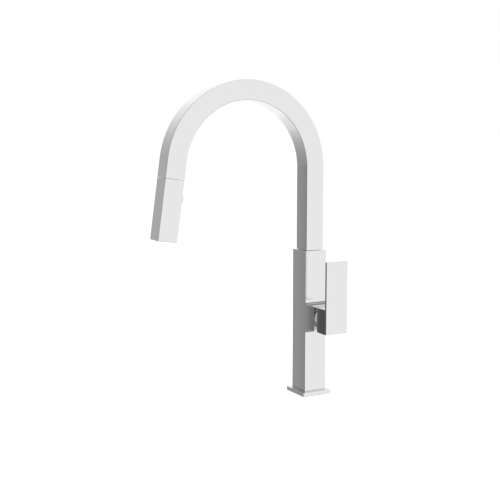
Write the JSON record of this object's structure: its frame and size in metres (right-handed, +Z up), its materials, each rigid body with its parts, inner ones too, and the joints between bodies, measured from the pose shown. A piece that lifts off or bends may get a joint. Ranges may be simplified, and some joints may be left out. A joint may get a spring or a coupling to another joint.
{
  "type": "pull down kitchen faucet",
  "caption": "Square-section kitchen faucet: high swivelling gooseneck, pull-down spray head with a mode rocker, and a single side lever on a slim column.",
  "frame": {"origin": "centre of the deck plate's underside, at deck level", "axes": "+Z up, the spout runs towards -Y where the user stands, the lever is on the +X side"},
  "size_m": [0.0927, 0.2576, 0.4354],
  "materials": {
    "chromed_brass": "polished chrome on cast brass",
    "chromed_tube": "polished chrome on drawn brass tube",
    "chromed_zinc": "polished chrome on die-cast zinc",
    "chromed_shell": "polished chrome on the head's shell",
    "bare_brass": "machined",
    "copper_pipe": "drawn copper",
    "steel": "machined",
    "dark_steel": "blackened",
    "seal_rubber": "soft matte",
    "nozzle_rubber": "soft matte silicone",
    "white_plastic": "moulded",
    "grey_plastic": "moulded, satin",
    "blue_plastic": "moulded",
    "ceramic": "lapped ceramic",
    "magnet": "nickel plated magnet",
    "hose_braid": "woven nylon over a plastic hose",
    "aerator_plastic": "moulded"
  },
  "bodies": {
    "base": {"base_plate": "chromed_brass", "base_seal": "seal_rubber", "foot_block": "bare_brass", "body": "chromed_brass", "supply_tubes": "copper_pipe", "outlet_tube": "copper_pipe", "manifold": "bare_brass", "port_seals": "seal_rubber", "cartridge_housing": "white_plastic", "fixed_disc": "ceramic", "cartridge_nut": "bare_brass", "dome_cap": "chromed_brass", "stop_screw": "dark_steel", "hose_lower": "hose_braid"},
    "spout": {"spout_tube": "chromed_tube", "spout_spigot": "bare_brass", "spigot_seals": "seal_rubber", "glide_ring": "white_plastic", "dock_collar": "white_plastic", "dock_magnet": "magnet", "hose_arch": "hose_braid"},
    "spray_head": {"head_shell": "chromed_shell", "waterway": "grey_plastic", "check_valve": "blue_plastic", "rocker_pin": "steel", "face_plate": "grey_plastic", "spray_nozzles": "nozzle_rubber", "aerator": "aerator_plastic", "hose_end": "hose_braid", "hose_ferrule": "steel"},
    "mode_rocker": {"rocker": "chromed_shell"},
    "diverter": {"diverter_spool": "white_plastic"},
    "valve_spindle": {"spindle": "white_plastic", "stem_pin": "steel"},
    "driven_disc": {"moving_disc": "ceramic"},
    "handle": {"stem": "steel", "lever": "chromed_zinc", "lever_screw": "dark_steel", "screw_plug": "chromed_zinc"}
  },
  "joints": [
    {"name": "spout_swivel", "type": "hinge", "parent": "base", "child": "spout", "pos_m": [0, 0, 0.204], "axis": [0, 0, 1], "range_deg": [-60, 60]},
    {"name": "head_pull", "type": "slide", "parent": "spout", "child": "spray_head", "axis": [0, -0.1392, -0.9903], "range_m": [0, 0.4]},
    {"name": "rocker_tilt", "type": "hinge", "parent": "spray_head", "child": "mode_rocker", "pos_m": [0, -0.20423, 0.28129], "axis": [1, 0, 0], "range_deg": [-6, 6]},
    {"name": "diverter_slide", "type": "slide", "parent": "spray_head", "child": "diverter", "axis": [0, 0.1392, 0.9903], "range_m": [-0.0006, 0.0006]},
    {"name": "temperature", "type": "hinge", "parent": "base", "child": "valve_spindle", "pos_m": [0.03015, 0, 0.113], "axis": [1, 0, 0], "range_deg": [-45, 45]},
    {"name": "disc_slide", "type": "slide", "parent": "valve_spindle", "child": "driven_disc", "axis": [0, 0, 1], "range_m": [0, 0.0019]},
    {"name": "flow", "type": "hinge", "parent": "valve_spindle", "child": "handle", "pos_m": [0.03015, 0, 0.113], "axis": [0, 1, 0], "range_deg": [0, 20]}
  ],
  "couplings": [
    {"joint": "disc_slide", "follows": "flow", "m_per_rad": 0.005095},
    {"joint": "diverter_slide", "follows": "rocker_tilt", "m_per_rad": -0.005273}
  ]
}
